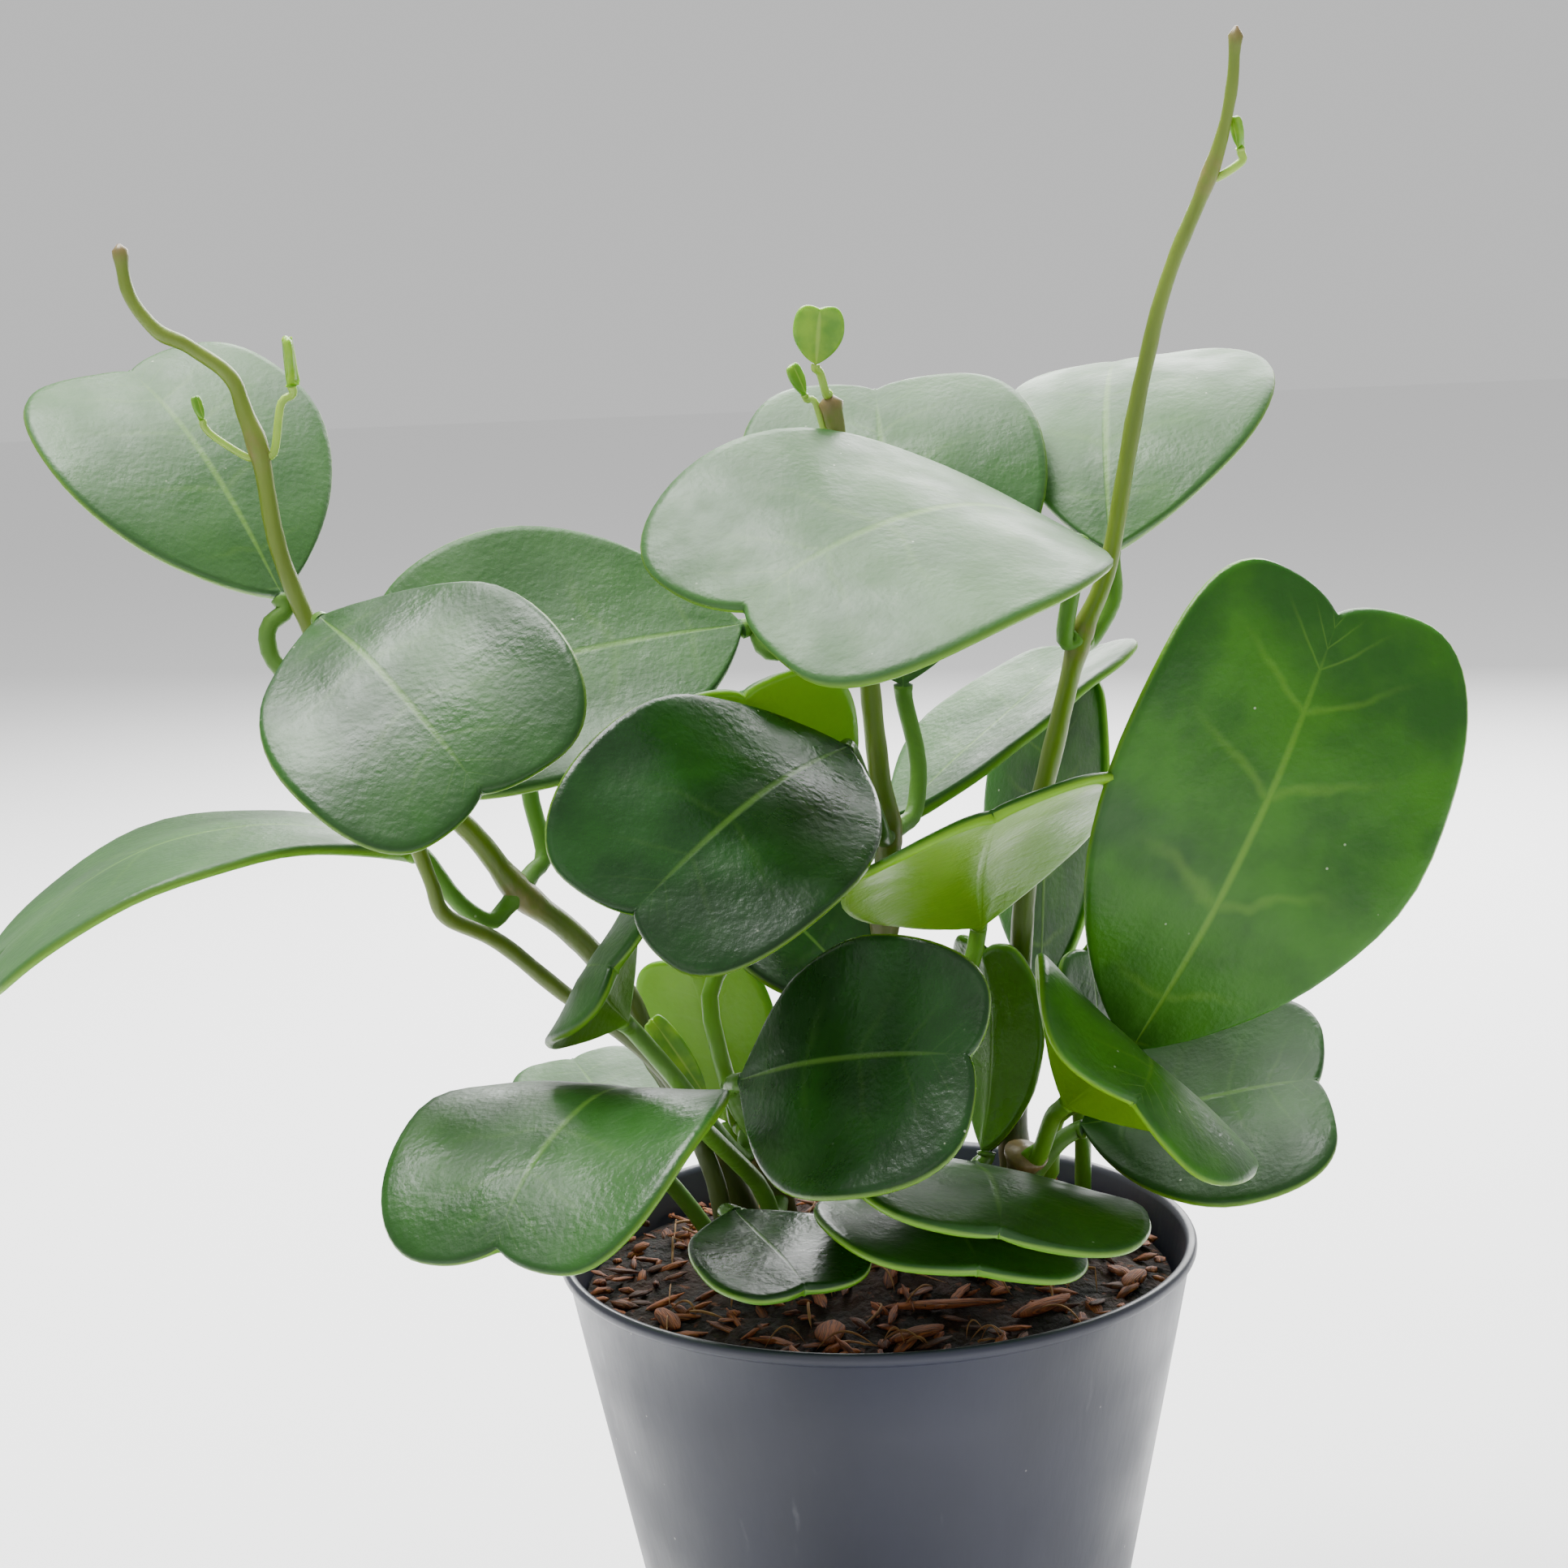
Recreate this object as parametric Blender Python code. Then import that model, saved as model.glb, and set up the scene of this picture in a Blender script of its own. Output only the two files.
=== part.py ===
"""Heart-leaf hoya in a nursery pot: thick obcordate leaves on twining stems, potted in bark mix.

Frame: +Z up, metres, origin at the middle of the underside of the pot, plant facing -Y.
Every leaf is one solid of stalk and blade, carried by a stem or rising from the mix.
"""
import bpy
import numpy as np

MM = 0.001
GAP = 0.3                     # clearance between touching pieces, mm

# Pot, mm
POT_HEIGHT = 95.0
POT_TOP_RADIUS = 53.9         # wall just under the lip
POT_BASE_RADIUS = 35.8
POT_WALL = 1.1
POT_FLOOR = 1.6
LIP_RADIUS = 55.0
LIP_DEPTH = 2.2
POT_SIDES = 48
DRAIN_HOLES = 8
DRAIN_RADIUS = 4.0
DRAIN_CIRCLE = 25.0

# Potting mix, mm: level at the rim, mounded round the stems
SOIL_EDGE = 87.0
MOUND_HEIGHT = 12.0
MOUND_CENTRE = (8.0, 12.0)
MOUND_SPREAD = 22.0
SOIL_RINGS = 9

# Leaf blade: outline in half-widths across and lengths along
WIDEST = 0.64                 # where the blade is widest
LOBE_RISE = 0.05              # how far the two lobes pass the notch
BLADE_THICKNESS = 1.7         # mm
STALK_RADIUS = 1.5            # mm
BLADE_STATIONS = (0.03, 0.12, 0.25, 0.40, 0.56, 0.70, 0.84, 0.94)
STALK_STATIONS = 6
RING_ACROSS = (-1.0, -0.6, 0.0, 0.6, 1.0)

# Stems: route points (mm) from the mix upwards, radius at the foot and at the tip
STEMS = {
    "stem_left": (2.5, 1.0, [
        (-20, 8), (-24, 5, 102), (-29, 4, 113), (-34, 4, 122), (-38, 2, 130), (-42, 0, 141),
        (-50, -3, 152), (-58, -6, 160), (-64, -7, 169), (-70, -7, 176), (-78, -5, 185),
        (-85, -2, 193), (-90, 0, 203), (-95, 0, 218), (-97, 0, 234), (-99, 0, 241),
        (-101, 0, 247), (-107, -1, 252), (-112, -2, 255), (-116, -2, 261), (-117, -2, 269)]),
    "runner_left": (1.7, 1.2, [
        (-25, -4), (-27, -7, 106), (-30, -9, 117), (-34, -9, 127), (-41, -9, 135),
        (-51, -10, 143), (-61, -13, 153), (-69, -18, 159), (-71, -19, 165), (-74, -18, 174)]),
    "stem_middle": (2.6, 1.3, [
        (0, 8), (0, 4, 106), (2, 2, 126), (3, -1, 148), (4, -3, 167), (3, -3, 177),
        (2, -2, 191), (1, 1, 211), (-1, 3, 227), (-3, 4, 240)]),
    "stem_right": (2.4, 0.9, [
        (24, 17), (25, 15, 102), (26, 14, 122), (27, 12, 140), (29, 10, 160), (34, 8, 181),
        (38, 6, 197), (43, 5, 210), (48, 4, 236), (53, 2, 256), (60, 0, 273), (63, -2, 284),
        (64, -4, 296)]),
    "stub_left": (2.4, 2.0, [(-14, 6), (-17, 1, 103), (-21, -2, 115)]),
    "stub_right": (2.6, 2.2, [(22, 2), (24, -4, 104), (26, -7, 112)]),
}

# Leaves, mm: carrier (stem and height, or a spot in the mix), stalk points on the way, blade base,
# notch, facing of the upper side, width, cup (edge lift), arch (rise of the midrib), skew
LEAVES = {
    "leaf_left_upper": (("stem_left", 194), [(-97, 1, 199), (-98, 1, 205)],
                        (-96, 3, 210), (-124, 31, 247), (0.27, -0.64, 0.72), 49, 0.01, 0.09, -0.02),
    "leaf_left_front": (("stem_left", 196), [(-87, -5.2, 204.6)],
                        (-87, -10, 207), (-59, -48, 185), (-0.20, -0.56, 0.80), 49, 0.07, 0.09, -0.05),
    "leaf_left_back": (("stem_middle", 200), [(-14, -2, 198)],
                       (-19, -1, 202), (-74, -12, 194), (0.04, -0.71, 0.70), 53, 0.11, 0.05, 0),
    "leaf_left_arching": (("stem_left", 159), [(-63, -10, 156), (-68, -11, 160)],
                          (-75, -10, 168), (-139, -26, 157), (-0.16, -0.03, 0.99), 52, 0, 0.16, 0),
    "leaf_left_hidden": (("stem_left", 161), [(-54, 0, 165), (-56, 3, 174)],
                         (-56, 5, 182), (-52, 33, 207), (-0.49, -0.53, 0.69), 39, 0.02, 0.04, 0),
    "leaf_top_broad": (("stem_right", 196), [(36.8, 2.3, 207.7)],
                       (37, 0, 214), (-18, -44, 210), (0.17, -0.30, 0.94), 70, 0.05, 0.15, 0),
    "leaf_top_back": (("stem_middle", 168), [(9, 4, 169), (10, 7, 177)],
                      (8, 9, 190), (6, 39, 238), (-0.04, -0.82, 0.56), 53, 0.04, 0.16, 0.06),
    "leaf_front_glossy": (("stem_middle", 166), [(2, -12, 171)],
                          (-3, -16, 183), (-36, -59, 168), (0.33, -0.53, 0.78), 46, 0.09, 0.12, 0.05),
    "leaf_middle_upright": (("stub_left", 112), [(-24, -1, 121), (-26, -4, 131), (-27, -1, 140)],
                            (-22, 4, 151), (-19, -20, 194), (-0.39, 0.81, 0.44), 40, -0.05, 0, -0.05),
    "leaf_back_slanting": (("stem_middle", 152), [(6, 10, 155)],
                           (7, 21, 164), (43, 48, 188), (-0.51, -0.15, 0.85), 44, 0.10, 0.02, 0),
    "leaf_right_upper": (("stem_right", 198), [(44, 9, 203)],
                         (44, 10, 211), (51, 59, 240), (-0.20, -0.48, 0.85), 49, -0.06, 0.13, 0.2),
    "leaf_right_tall": (("stem_right", 106), [(32, 8, 112), (38, -6, 121)],
                        (42, -20, 133), (75, -27, 204), (0.12, -0.98, -0.10), 56, 0.13, 0.09, 0.02),
    "leaf_right_back": (("stem_right", 118), [(29, 26, 121)],
                        (33, 32, 129), (38, 51, 180), (-0.89, -0.45, 0.10), 42, 0.05, 0.01, 0),
    "leaf_middle_shelf": (("stem_middle", 127), [(10, 0, 131), (17, 1, 141)],
                          (19, 1, 150), (19, -44, 177), (-0.33, 0.45, 0.81), 49, 0.0, 0.05, 0),
    "leaf_centre_upright": ((16, 10), [(18, 9, 103.4)],
                            (20, 10, 106), (21, 9, 143), (0.70, 0.70, 0.05), 20, 0.08, 0.08, 0),
    "leaf_centre_back": ((-6, 22), [(-1, 20, 118)],
                         (-1, 18, 132), (-22, 24, 154), (0.50, -0.65, 0.57), 33, 0.12, 0.07, 0),
    "leaf_front_low": ((-6, 2), [(-14, -10, 112), (-20, -24, 122)],
                       (-21, -32, 133), (13, -64, 145), (-0.70, -0.52, 0.49), 42, 0.20, 0.09, 0.12),
    "leaf_right_curled": (("stub_right", 111), [(29.7, -11.9, 118.5)],
                          (32, -15, 122), (38, -56, 134), (0.67, 0.41, 0.60), 48, 0, 0.24, 0),
    "leaf_right_low": (("stub_right", 103), [(31.2, -1.9, 110.6)],
                       (36, -1, 113), (75, -9, 122), (-0.15, -0.50, 0.85), 46, 0, 0.03, 0.04),
    "leaf_right_inner": ((38, 22), [(38, 19.5, 104)],
                         (38, 17, 112), (38, 9, 142), (0.74, -0.61, -0.29), 22, 0.10, 0.06, 0),
    "leaf_left_low": (("stub_left", 104), [(-20, -9, 108), (-27, -23, 121)],
                      (-32, -33, 129), (-57, -81, 124), (-0.09, -0.05, 0.99), 51, 0.05, 0.20, 0),
    "leaf_left_curled": (("stub_left", 115), [(-33, -18, 130)],
                         (-41, -21, 141), (-40, -50, 157), (-0.78, 0.20, 0.44), 30, 0, 0.16, -0.12),
    "leaf_left_ground": ((-30, 16), [(-36, 13, 101.6)],
                         (-42, 10, 109), (-54, 36, 118), (-0.04, -0.18, 0.98), 29, 0, 0.02, 0),
    "leaf_left_rim": ((-10, -8), [(-16, -14, 101)],
                      (-24, -22, 107), (-13, -52, 105), (0.00, -0.10, 1.00), 28, 0.1, 0.03, 0),
    "leaf_left_inner": ((-22, 22), [(-23.5, 20, 103.5)],
                        (-25, 18, 111), (-31, 19, 140), (0.30, 0.90, 0.20), 26, 0, 0.06, 0),
    "leaf_rim_upper": ((12, 2), [(14, -8, 108)],
                       (16, -18, 112), (17, -60, 116), (0.23, 0.09, 0.97), 50, 0.01, 0.07, 0),
    "leaf_rim_lower": ((4, 0), [(4, -6, 101)],
                       (5, -14, 104), (14, -54, 108), (0.20, 0.09, 0.98), 44, 0, 0.07, 0.04),
}

# Young growth, mm, as the leaves, then stalk radius, lobe rise and thickness
YOUNG = {
    "young_leaf_left": (("stem_left", 236), [(-93, 0, 242)],
                        (-91, 0, 245), (-91, -2, 253), (-0.9, -0.3, 0), 4, 0, 0, 0, 0.7, 0, 1.3),
    "young_leaf_left_small": (("stem_left", 235), [(-104, 0, 237)],
                              (-106, 0, 240), (-107, 0, 244), (0.6, -0.6, 0.2), 2, 0, 0, 0, 0.6, 0, 0.9),
    "young_leaf_top": (("stem_middle", 239), [(-4.3, 1.8, 243.5)],
                       (-5, 1, 245), (-4, 0, 254), (0.1, -1, 0), 8.5, 0.15, 0, 0, 0.7, 0.06, 0.9),
    "young_leaf_top_small": (("stem_middle", 236), [(-5.3, 3.8, 238.7)],
                             (-7, 4, 240), (-9, 3, 245), (0.6, -0.8, 0.2), 3.2, 0, 0, 0, 0.6, 0, 0.9),
    "young_leaf_right": (("stem_right", 273), [(65.2, 0.1, 274.8)],
                         (65, 0, 277), (64, -1, 282), (-0.7, -0.6, 0), 2.6, 0, 0, 0, 0.7, 0, 1.1),
    "sprout_left": (("stem_left", 111), [(-28, -2.7, 119.7)],
                    (-28, -7, 122), (-37, -10, 138), (0.5, -0.8, 0.2), 5, 0.2, 0.03, 0, 1.0, 0, 1.2),
}

# Bark chips lying on the mix, mm: middle, heading in degrees, length, width, thickness
BARK = {
    "bark_chip_front": (5, -33, 25, 11, 4.2, 2.2),
    "bark_chip_right": (26, -25, 35, 13, 3.8, 2.4),
    "bark_strip": (10, -24, -6, 22, 3.2, 1.6),
    "bark_chip_left": (-9, -31, 80, 9, 5.5, 2.6),
    "bark_chip_far_right": (43, -13, 60, 8, 4.0, 2.4),
    "bark_chip_rim_left": (-36, -20, 110, 10, 4.5, 2.4),
    "bark_chip_back": (-10, 40, 20, 12, 5.0, 2.6),
    "bark_chip_back_right": (22, 36, -40, 10, 4.5, 2.4),
}

PART_COLOURS = {
    "pot": ((0.035, 0.04, 0.055), 0.45),
    "soil": ((0.025, 0.012, 0.006), 0.95),
    "bark": ((0.28, 0.085, 0.025), 0.85),
    "leaf": ((0.045, 0.14, 0.02), 0.38),
    "young": ((0.16, 0.36, 0.02), 0.4),
    "stem": ((0.15, 0.17, 0.02), 0.5),
}


def unit(vector):
    """The vectors scaled to length one along their last axis."""
    vector = np.asarray(vector, float)
    return vector / np.linalg.norm(vector, axis=-1, keepdims=True)


def make_material(kind):
    """A plain Principled material of this part's colour and roughness."""
    colour, roughness = PART_COLOURS[kind]
    material = bpy.data.materials.new(kind)
    material.use_nodes = True
    shader = material.node_tree.nodes["Principled BSDF"]
    shader.inputs["Base Color"].default_value = (*colour, 1.0)
    shader.inputs["Roughness"].default_value = roughness
    shader.inputs["Metallic"].default_value = 0.0
    return material


def add_object(name, points, faces, kind):
    """An object of points in mm and faces, in metres in the scene, shaded smooth."""
    mesh = bpy.data.meshes.new(name)
    mesh.from_pydata((np.asarray(points) * MM).tolist(), [], [tuple(map(int, face)) for face in faces])
    mesh.materials.append(make_material(kind))
    mesh.shade_smooth()
    piece = bpy.data.objects.new(name, mesh)
    bpy.context.scene.collection.objects.link(piece)
    return piece


def soil_height(x, y):
    """Height of the mix: its level at the rim plus a bell-shaped mound round the stems."""
    away = (x - MOUND_CENTRE[0]) ** 2 + (y - MOUND_CENTRE[1]) ** 2
    return SOIL_EDGE + MOUND_HEIGHT * np.exp(-away / (2 * MOUND_SPREAD ** 2))


def seat_on_soil(x, y, radius):
    """A point over the mix where a round foot of this radius clears it by the gap all round."""
    turn = np.linspace(0, 2 * np.pi, 16)
    highest = soil_height(x + radius * np.cos(turn), y + radius * np.sin(turn)).max()
    return np.array([x, y, max(highest, soil_height(x, y)) + GAP])


def smooth_route(points, steps):
    """Catmull-Rom curve through the points, with this many steps from each to the next."""
    points = np.asarray(points, float)
    padded = np.vstack([2 * points[0] - points[1], points, 2 * points[-1] - points[-2]])
    before, start, end, after = padded[:-3], padded[1:-2], padded[2:-1], padded[3:]
    t = np.linspace(0, 1, steps, endpoint=False)[:, None, None]
    curve = 0.5 * (2 * start + (end - before) * t
                   + (2 * before - 5 * start + 4 * end - after) * t ** 2
                   + (3 * start - before - 3 * end + after) * t ** 3)
    return np.vstack([curve.transpose(1, 0, 2).reshape(-1, 3), points[-1]])


def carried_frames(route, across, first=None):
    """Tangent, across and up at each point, the across vector carried along without twisting."""
    tangent = unit(np.gradient(route, axis=0))
    if first is not None:
        tangent[-1] = -first
    frames = []
    for direction in tangent:
        across = unit(across - (across @ direction) * direction)
        frames.append(across)
    frames = np.array(frames)
    return tangent, frames, np.cross(tangent, frames)


def skin(rings, tip=None):
    """Points and faces of a closed body: rings joined in order, a flat cap first, a cap or tip last."""
    count, around = rings.shape[:2]
    index = np.arange(count * around).reshape(count, around)
    here, right = index[:-1], np.roll(index, -1, axis=1)[:-1]
    above, above_right = index[1:], np.roll(index, -1, axis=1)[1:]
    faces = np.stack([here, right, above_right, above], axis=-1).reshape(-1, 4).tolist()
    faces.append(index[0][::-1].tolist())
    points = rings.reshape(-1, 3)
    if tip is None:
        faces.append(index[-1].tolist())
    else:
        points = np.vstack([points, tip])
        last = index[-1]
        faces += [[a, b, len(points) - 1] for a, b in zip(last, np.roll(last, -1))]
    return points, faces


def stem_route(name):
    """The smooth centre line of a stem, its foot seated on the mix."""
    foot, _, points = STEMS[name]
    seat = seat_on_soil(*points[0], foot)
    return smooth_route([seat, *points[1:]], 2)


def stem_radius(name, count):
    """Radius along a stem, shrinking evenly from foot to tip."""
    foot, tip, _ = STEMS[name]
    return np.linspace(foot, tip, count)


def add_stem(name):
    """A stem: a round section carried along its route."""
    route = stem_route(name)
    _, across, up = carried_frames(route, np.array([1.0, 0.0, 0.0]))
    turn = np.linspace(0, 2 * np.pi, 8, endpoint=False)[:, None]
    radius = stem_radius(name, len(route))[:, None, None]
    rings = route[:, None] + radius * (np.cos(turn) * across[:, None] + np.sin(turn) * up[:, None])
    level = rings[0].copy()
    level[:, 2] = route[0, 2]
    rings[0] = level
    points, faces = skin(rings)
    return add_object(name, points, faces, "stem")


def bezier(controls, t):
    """Cubic Bezier curve on four control points at the parameters t."""
    a, b, c, d = np.asarray(controls, float)
    t = np.asarray(t, float)[:, None]
    return (1 - t) ** 3 * a + 3 * (1 - t) ** 2 * t * b + 3 * (1 - t) * t ** 2 * c + t ** 3 * d


def half_outline(t, rise=LOBE_RISE):
    """Edge of half a blade from stalk (t=0) round the lobe to the notch (t=1): half-widths, lengths."""
    pieces = (((0, 0), (0.33, 0.05), (1, WIDEST - 0.34), (1, WIDEST)),
              ((1, WIDEST), (1, WIDEST + 0.25), (0.82, 1 + rise), (0.48, 1 + rise)),
              ((0.48, 1 + rise), (0.22, 1 + rise), (0.06, 1 + 0.45 * rise), (0, 1)))
    scaled = np.asarray(t) * len(pieces)
    piece = np.minimum(scaled.astype(int), len(pieces) - 1)
    return np.vstack([bezier(pieces[k], [s - k]) for k, s in zip(piece, scaled)])


def blade_axes(base, notch, facing):
    """Along, across and facing unit vectors of a blade, and its length."""
    along = np.asarray(notch, float) - base
    length = np.linalg.norm(along)
    along = along / length
    up = np.asarray(facing, float)
    up = unit(up - (up @ along) * along)
    return along, np.cross(along, up), up, length


def blade_rings(base, notch, facing, width, cup, arch, skew, rise=LOBE_RISE, thickness=BLADE_THICKNESS):
    """Closed rings across the blade, each rib running from the midrib out to the edge.

    The blade is a height field over its plane: a parabola along it (arch) plus one across it (cup),
    thickened along its own normal and thinned to nothing at the edge.
    """
    along, across, up, length = blade_axes(base, notch, facing)
    t = np.array(BLADE_STATIONS)
    edge = half_outline(t, rise)
    rib_foot = edge[:, 1] * (0.72 + 0.28 * t ** 2)
    u = np.array(RING_ACROSS)
    u = np.concatenate([u, u[-2:0:-1]])
    side = np.concatenate([np.full(len(RING_ACROSS), 1.0), np.full(len(RING_ACROSS) - 2, -1.0)])
    side[np.abs(u) == 1] = 0
    x = edge[:, :1] * u
    y = rib_foot[:, None] + (edge[:, 1:] - rib_foot[:, None]) * np.abs(u)
    half = width / 2
    reach = x * half * (1 + skew * np.sign(x))
    height = 4 * arch * length * y * (1 - y) + cup * half * x ** 2
    normal = unit(up - (2 * cup * x)[..., None] * across - (4 * arch * (1 - 2 * y))[..., None] * along)
    swell = 1 + 0.5 * np.exp(-t / 0.12)[:, None]
    centre = base + (y * length)[..., None] * along + reach[..., None] * across + height[..., None] * up
    return centre + (side * swell * thickness / 2)[..., None] * normal


def stalk_rings(foot, leave, stops, base, along, across, radius):
    """Round rings of the stalk from its foot to the blade, ordered as the blade's rings are."""
    reach = np.linalg.norm(base - foot)
    points = [foot, foot + 0.15 * reach * leave, *stops, base - 0.12 * reach * along, base]
    route = smooth_route(points, 4)
    pick = np.linspace(0, len(route) - 1, STALK_STATIONS).round().astype(int)
    route = route[pick]
    _, side, up = carried_frames(route[::-1], across, first=leave)
    side, up = side[::-1], up[::-1]
    turn = np.linspace(np.pi, -np.pi, 2 * len(RING_ACROSS) - 2, endpoint=False)[:, None]
    return route[:, None] + radius * (np.cos(turn) * side[:, None] + np.sin(turn) * up[:, None])


def carrier_foot(carrier, toward, radius):
    """Where a stalk starts and its first direction: square off its stem, or straight up from the mix."""
    if isinstance(carrier[0], str):
        route = stem_route(carrier[0])
        near = np.abs(route[:, 2] - carrier[1]).argmin()
        tangent = unit(np.gradient(route, axis=0))[near]
        leave = np.asarray(toward, float) - route[near]
        leave = unit(leave - (leave @ tangent) * tangent)
        return route[near] + (stem_radius(carrier[0], len(route))[near] + GAP) * leave, leave
    return seat_on_soil(*carrier, radius), np.array([0.0, 0.0, 1.0])


def add_leaf(name, carrier, stops, base, notch, facing, width, cup, arch, skew,
             radius=STALK_RADIUS, rise=LOBE_RISE, thickness=BLADE_THICKNESS, kind="leaf"):
    """One leaf: the stalk's round section flattens into the blade and closes at the notch."""
    base = np.asarray(base, float)
    along, across, up, _ = blade_axes(base, notch, facing)
    foot, leave = carrier_foot(carrier, stops[0] if stops else base, radius)
    start = unit(along + 4 * arch * up)
    stalk = stalk_rings(foot, leave, [np.asarray(p, float) for p in stops], base, start, across, radius)
    blade = blade_rings(base, notch, facing, width, cup, arch, skew, rise, thickness)
    points, faces = skin(np.vstack([stalk, blade]), np.asarray(notch, float))
    return add_object(name, points, faces, kind)


def turned(profile, sides):
    """Closed body of a profile of (radius, height) pairs, in order round its outline, turned about Z."""
    profile = np.asarray(profile, float)
    turn = np.arange(sides) * 2 * np.pi / sides
    radius, height = profile[:, 0][:, None], profile[:, 1][:, None]
    rings = np.stack([radius * np.cos(turn), radius * np.sin(turn), height + 0 * turn], axis=-1)
    index = np.arange(rings.shape[0] * sides).reshape(-1, sides)
    right, below = np.roll(index, -1, axis=1), np.roll(index, -1, axis=0)
    faces = np.stack([index, right, np.roll(below, -1, axis=1), below], axis=-1)
    return rings.reshape(-1, 3), faces[:-1].reshape(-1, 4).tolist(), index


def add_pot():
    """The pot: a tapering wall with a rolled lip and a flat floor with a ring of drain holes."""
    inner_base = POT_BASE_RADIUS - POT_WALL
    inner_top = POT_TOP_RADIUS - POT_WALL
    lip_foot = POT_HEIGHT - LIP_DEPTH
    profile = [(POT_BASE_RADIUS - 0.8, 0), (POT_BASE_RADIUS, 0.9), (POT_TOP_RADIUS, lip_foot - 0.5),
               (LIP_RADIUS, lip_foot + 0.5), (LIP_RADIUS, POT_HEIGHT - 0.5), (LIP_RADIUS - 0.5, POT_HEIGHT),
               (inner_top + 0.4, POT_HEIGHT), (inner_top, POT_HEIGHT - 0.6), (inner_base, POT_FLOOR)]
    points, faces, index = turned(profile, POT_SIDES)
    faces += [index[0][::-1].tolist(), index[-1].tolist()]
    pot = add_object("pot", points, faces, "pot")
    pot.data.set_sharp_from_angle(angle=np.radians(40))
    for hole in range(DRAIN_HOLES):
        angle = 2 * np.pi * hole / DRAIN_HOLES
        middle = DRAIN_CIRCLE * np.array([np.cos(angle), np.sin(angle), 0])
        shape = [(DRAIN_RADIUS, -2), (DRAIN_RADIUS, POT_FLOOR + 2)]
        points, faces, index = turned(shape, 12)
        faces += [index[0][::-1].tolist(), index[-1].tolist()]
        cutter = add_object(f"drain_cutter_{hole + 1}", points + middle, faces, "pot")
        cutter.hide_render = True
        cutter.display_type = "WIRE"
        cut = pot.modifiers.new(cutter.name, "BOOLEAN")
        cut.operation = "DIFFERENCE"
        cut.object = cutter


def add_soil():
    """The potting mix: it fills the pot up to its edge and mounds up round the stems."""
    bottom_radius = POT_BASE_RADIUS - POT_WALL - GAP
    top_radius = bottom_radius + (POT_TOP_RADIUS - POT_BASE_RADIUS) * SOIL_EDGE / POT_HEIGHT - GAP
    turn = np.arange(POT_SIDES) * 2 * np.pi / POT_SIDES
    ring = np.stack([np.cos(turn), np.sin(turn)], axis=-1)
    rings = [np.column_stack([ring * bottom_radius, np.full(POT_SIDES, POT_FLOOR + GAP)])]
    for share in np.linspace(1, 1 / SOIL_RINGS, SOIL_RINGS):
        flat = ring * top_radius * share
        fade = np.clip((1 - share) * 6, 0, 1)
        level = SOIL_EDGE + fade * (soil_height(*flat.T) - SOIL_EDGE)
        rings.append(np.column_stack([flat, level]))
    points, faces = skin(np.array(rings), np.array([0, 0, soil_height(0.0, 0.0)]))
    return add_object("soil", points, faces, "soil")


def add_bark(name, x, y, heading, length, width, thickness):
    """A splinter of bark: a slab with tapered, slanting ends, lying on the mix along its slope."""
    step = 1.0
    slope = np.array([soil_height(x + step, y) - soil_height(x - step, y),
                      soil_height(x, y + step) - soil_height(x, y - step)]) / (2 * step)
    up = unit([-slope[0], -slope[1], 1.0])
    turn = np.radians(heading)
    along = np.array([np.cos(turn), np.sin(turn), 0.0])
    along = unit(along - (along @ up) * up)
    across = np.cross(up, along)
    ends = np.array([(-0.5, 0.25), (-0.42, -0.4), (0.1, -0.5), (0.5, -0.3), (0.44, 0.3), (-0.05, 0.5)])
    ground = np.array([x, y, soil_height(x, y) + GAP])
    flat = ends[:, :1] * length * along + ends[:, 1:] * width * across
    lift = ((soil_height(*(ground + flat)[:, :2].T) + GAP) - (ground + flat)[:, 2]).max()
    bottom = ground + flat + max(lift, 0) * up
    top = bottom[:] + thickness * up - 0.18 * flat
    points, faces = skin(np.array([bottom, top]))
    return add_object(name, points, faces, "bark")


def main():
    """Clear the scene and build every piece."""
    for old in list(bpy.data.objects):
        bpy.data.objects.remove(old, do_unlink=True)
    add_pot()
    add_soil()
    for name in STEMS:
        add_stem(name)
    for name, leaf in LEAVES.items():
        add_leaf(name, *leaf)
    for name, (*leaf, radius, rise, thickness) in YOUNG.items():
        add_leaf(name, *leaf, radius=radius, rise=rise, thickness=thickness, kind="young")
    for name, chip in BARK.items():
        add_bark(name, *chip)


main()
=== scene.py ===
"""Potted heart-leaf hoya: the looks of every leaf, stem, chip of bark and the nursery pot.

Metres, +Z up, plant facing -Y. Routes and leaf placements are in millimetres, scaled by MM.
"""
import bpy
import numpy as np
from mathutils import Matrix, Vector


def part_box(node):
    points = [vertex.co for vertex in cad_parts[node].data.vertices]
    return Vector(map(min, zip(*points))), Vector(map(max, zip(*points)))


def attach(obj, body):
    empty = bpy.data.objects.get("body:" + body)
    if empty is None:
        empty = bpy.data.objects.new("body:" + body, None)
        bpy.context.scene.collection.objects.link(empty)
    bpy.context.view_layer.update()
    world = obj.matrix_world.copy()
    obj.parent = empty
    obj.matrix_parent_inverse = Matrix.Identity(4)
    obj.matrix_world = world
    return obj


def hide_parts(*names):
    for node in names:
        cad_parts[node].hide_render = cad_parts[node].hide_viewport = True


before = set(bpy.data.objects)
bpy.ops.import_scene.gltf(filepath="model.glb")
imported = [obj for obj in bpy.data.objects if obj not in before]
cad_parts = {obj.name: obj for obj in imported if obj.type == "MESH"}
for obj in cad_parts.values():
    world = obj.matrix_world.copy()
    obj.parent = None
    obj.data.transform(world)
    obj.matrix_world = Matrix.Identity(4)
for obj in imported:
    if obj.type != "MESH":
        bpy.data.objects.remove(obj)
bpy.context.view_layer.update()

MM = 0.001
BODY = "root"

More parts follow.
